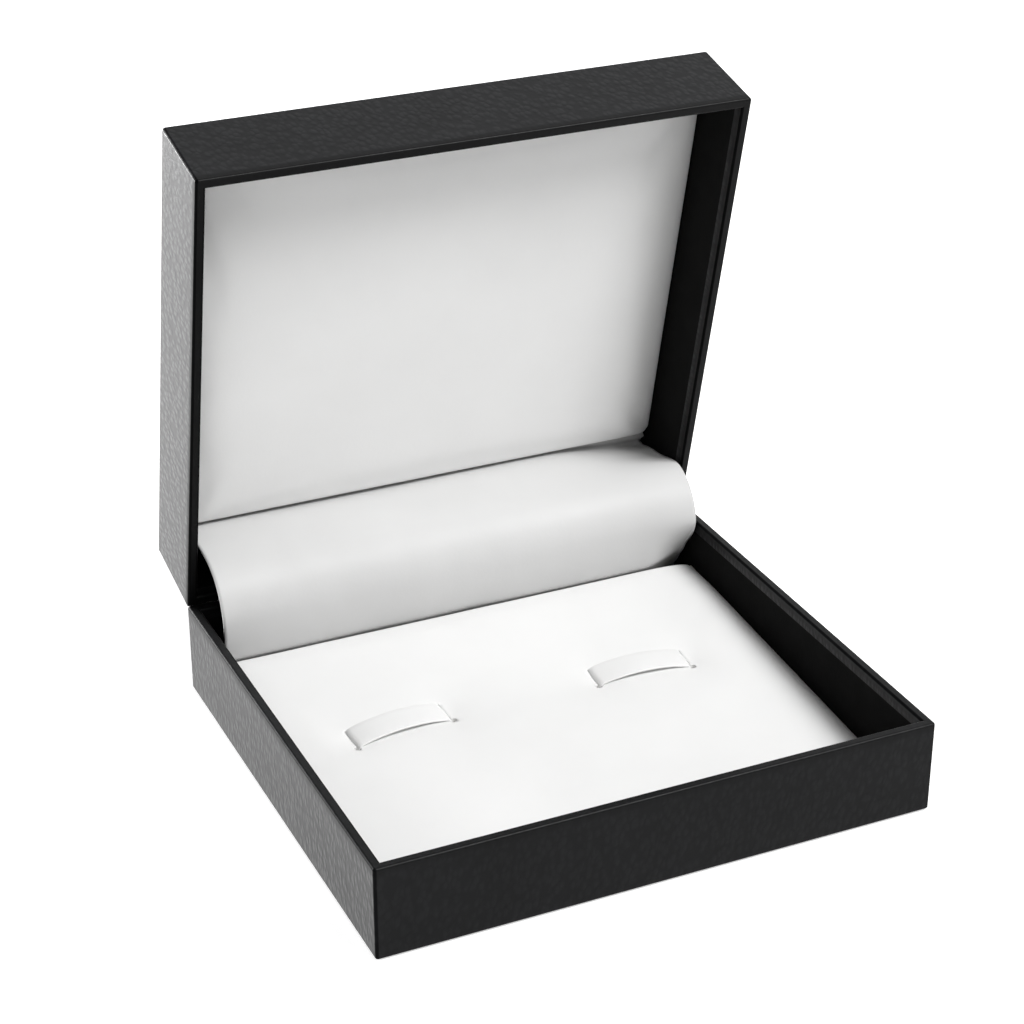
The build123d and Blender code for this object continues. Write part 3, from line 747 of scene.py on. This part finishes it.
# Shares of its length, up from the foot: where the trim and the tucks end or start, and over what they fade
TRIM_END, TRIM_FADE = 0.45, 0.3
FOOT_END, FOOT_FADE = 0.38, 0.18
HEAD_START, HEAD_FADE, TAIL_FADE = 0.60, 0.2, 0.06


def lid_point(y, z):
    """A point of the lid's own side section, which leans back with the lid, in the flap's."""
    return Vector((y * math.cos(LEAN) - z * math.sin(LEAN), -y * math.sin(LEAN) - z * math.cos(LEAN)))


def arc(centre, radius, start, end, count):
    """Points of an arc, with that many steps between them."""
    angles = [start + (end - start) * i / count for i in range(count + 1)]
    return [centre + Vector((radius * math.cos(a), radius * math.sin(a))) for a in angles]


def ease(t):
    """From 0 to 1, and smooth at both ends."""
    t = min(1.0, max(0.0, t))
    return t * t * (3 - 2 * t)


# Radii of the middle of the strip
face_radius, base_radius, lid_radius = [r - FLAP_THICKNESS / 2 for r in (FLAP_RADIUS, BASE_BEND, LID_BEND)]
base_turn = math.asin(BASE_DROP / BASE_BEND)
lid_turn = math.asin((LID_FLOOR - END_GAP) / LID_BEND)
section = arc(Vector((FLAP_RADIUS - BASE_BEND, 0)), base_radius, base_turn, 0, BASE_STEPS)
drop = BASE_FLOOR - END_GAP - section[0].y
foot_end = section[0] + Vector((-drop * math.tan(base_turn), drop))
section = [foot_end.lerp(section[0], i / FOOT_STEPS) for i in range(FOOT_STEPS)] + section
section += arc(Vector((0, 0)), face_radius, 0, -LEAN, FACE_STEPS)[1:]
section += arc(lid_point(FLAP_RADIUS - LID_BEND, 0), lid_radius, -LEAN, -LEAN - lid_turn, LID_STEPS)[1:]
section += [section[-1] + lid_point(LID_TAIL * i / TAIL_STEPS, 0) for i in range(1, TAIL_STEPS + 1)]
reach = [0.0]
for a, b in zip(section, section[1:]):
    reach.append(reach[-1] + (b - a).length)
flap_length = reach[-1]

points = []
for row, (here, s) in enumerate(zip(section, reach)):
    a, b = section[max(0, row - 1)], section[min(len(section) - 1, row + 1)]
    along = (b - a).normalized()
    out = Vector((-along.y, along.x))                 # away from the hinge
    if out.dot(here) < 0:
        out = -out
    share = s / flap_length
    free = math.sin(math.pi * share)                  # the waves die out at both ends
    left = FLAP_LEFT + FOOT_TRIM * ease((TRIM_END - share) / TRIM_FADE)
    foot = ease((FOOT_END - share) / FOOT_FADE)
    head = ease((share - HEAD_START) / HEAD_FADE) * ease((1.0 - share) / TAIL_FADE)
    for column in range(FLAP_COLUMNS + 1):
        x = left + (FLAP_RIGHT - left) * column / FLAP_COLUMNS
        lift = sum(height * wave(x, s, *shape) for height, *shape in FLAP_WAVES)
        recess = FOOT_RECESS * foot * ease((x - FLAP_RIGHT + FOOT_REACH) / FOOT_REACH)
        recess += HEAD_RECESS * head * ease((x - FLAP_RIGHT + HEAD_REACH) / HEAD_REACH)
        p = here + out * (lift * free - recess)
        points.append((x * MM, (HINGE.y - p.x) * MM, (HINGE.z - p.y) * MM))
flap = make_object("hinge_flap_sheet", points, grid_faces(FLAP_COLUMNS + 1, len(section)), "flap_skin")
thick = flap.modifiers.new("thickness", "SOLIDIFY")
thick.thickness, thick.offset, thick.use_even_offset = FLAP_THICKNESS * MM, 0.0, True
apply_modifiers(flap)
hand_over(flap, None, "flap_skin", "hinge_flap")
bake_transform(flap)

# ---- Snap springs, which bend as the lid turns: shaped here as they stand with the lid open -----------
# Their side section is measured from the hinge axis: to the front, and up.

SPRING_SPACING, SPRING_WIDTH, SPRING_THICKNESS = 20.0, 5.0, 0.35
SPRING_REACH = 7.3                            # from the hinge axis to the middle of the bow
EYE_OUT, EYE_DEPTH = 3.8, 6.0                 # from the hinge axis to an eye, to the front and into its half
EYE_RADIUS = 0.675                            # of the middle of the strip round the eye
BOW_STEPS, EYE_STEPS = 48, 28


def circle_centre(a, b, c):
    """Centre of the circle through three points of a plane."""
    ab, ac = b - a, c - a
    cross = 2 * (ab.x * ac.y - ab.y * ac.x)
    x = (ac.y * ab.length_squared - ab.y * ac.length_squared) / cross
    y = (ab.x * ac.length_squared - ac.x * ab.length_squared) / cross
    return a + Vector((x, y))


base_eye = Vector((EYE_OUT, -EYE_DEPTH))
lid_eye = Vector((1, -1)) * lid_point(EYE_OUT, EYE_DEPTH)
bow_middle = SPRING_REACH * Vector((math.cos(LEAN / 2), math.sin(LEAN / 2)))
centre = circle_centre(base_eye, bow_middle, lid_eye)
bow_radius = (bow_middle - centre).length
start, end = [math.atan2(p.y - centre.y, p.x - centre.x) for p in (base_eye, lid_eye)]
trim = EYE_RADIUS / bow_radius
bow = arc(centre, bow_radius, start + trim, end - trim, BOW_STEPS)
eyes = [arc(eye, EYE_RADIUS, 0, 2 * math.pi, EYE_STEPS) for eye in (base_eye, lid_eye)]
for side, x in (("left", -SPRING_SPACING / 2), ("right", SPRING_SPACING / 2)):
    spot = frame_matrix(HINGE + Vector((x, 0, 0)), (0, -1, 0), (1, 0, 0))
    spring = ribbon(f"spring_{side}", [bow, *eyes], spot, SPRING_WIDTH, SPRING_THICKNESS, "spring_steel")
    hand_over(spring, None, "spring_steel", f"snap_spring_{side}")
    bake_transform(spring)

# ---- Floor, backdrop and light ------------------------------------------------------------------------

FLOOR_REACH, FLOOR_LEVEL = 4, -0.00005        # half its side, and a hair below the box
FLOOR_COLOR, WHITE = (0.82, 0.82, 0.82, 1), (1, 1, 1, 1)
GLOW_START, GLOW_END = 0.4, 1.6               # from the box, where the floor's glow starts and ends to grow
GLOW_NEAR, GLOW_FAR = 0.55, 1.0               # its strengths there
FILL, BACKDROP = 0.22, 1.0                    # strengths of the world, as a light and where it is seen

floor_mesh = bpy.data.meshes.new("floor")
floor_signs = ((-1, -1), (1, -1), (1, 1), (-1, 1))
floor_corners = [(x * FLOOR_REACH, y * FLOOR_REACH, FLOOR_LEVEL) for x, y in floor_signs]
floor_mesh.from_pydata(floor_corners, [], [(0, 1, 2, 3)])
new_object("floor", floor_mesh)
n = material_nodes("floor_paper")
away = n.vector("LENGTH", {0: n.here()})["Value"]
grown = n.span(away, GLOW_START, GLOW_END, GLOW_NEAR, GLOW_FAR)
paper = n.add("BsdfDiffuse", {"Color": FLOOR_COLOR}).outputs[0]
strength = n.math("MULTIPLY", n.background_ray(), grown)
glow = n.add("Emission", {"Color": WHITE, "Strength": strength}).outputs[0]
n.show(n.add("AddShader", {0: paper, 1: glow}).outputs[0])
floor_mesh.materials.append(n.owner)

n = Nodes(bpy.data.worlds.new("studio"), "OutputWorld")
bpy.context.scene.world = n.owner
fill = n.add("Background", {"Color": WHITE, "Strength": FILL}).outputs[0]
backdrop = n.add("Background", {"Color": WHITE, "Strength": BACKDROP}).outputs[0]
n.show(n.add("MixShader", {0: n.background_ray(), 1: fill, 2: backdrop}).outputs[0])


def softbox(name, place, target, size, watts):
    """A lamp of that width and height, aimed at the target, which the camera doesn't see."""
    light = bpy.data.lights.new(name, "AREA")
    light.shape, light.size, light.size_y, light.energy = "RECTANGLE", size[0], size[1], watts
    lamp = new_object(name, light)
    way = Vector(target) - Vector(place)
    lamp.matrix_world = Matrix.Translation(place) @ way.to_track_quat("-Z", "Y").to_matrix().to_4x4()
    lamp.visible_camera = False


softbox("key", place=(0.36, -0.46, 0.78), target=(0, 0, 0.02), size=(0.42, 0.42), watts=9.2)
softbox("side", place=(-0.35, 0.75, 0.12), target=(-0.045, 0.03, 0.03), size=(0.5, 0.3), watts=20.0)
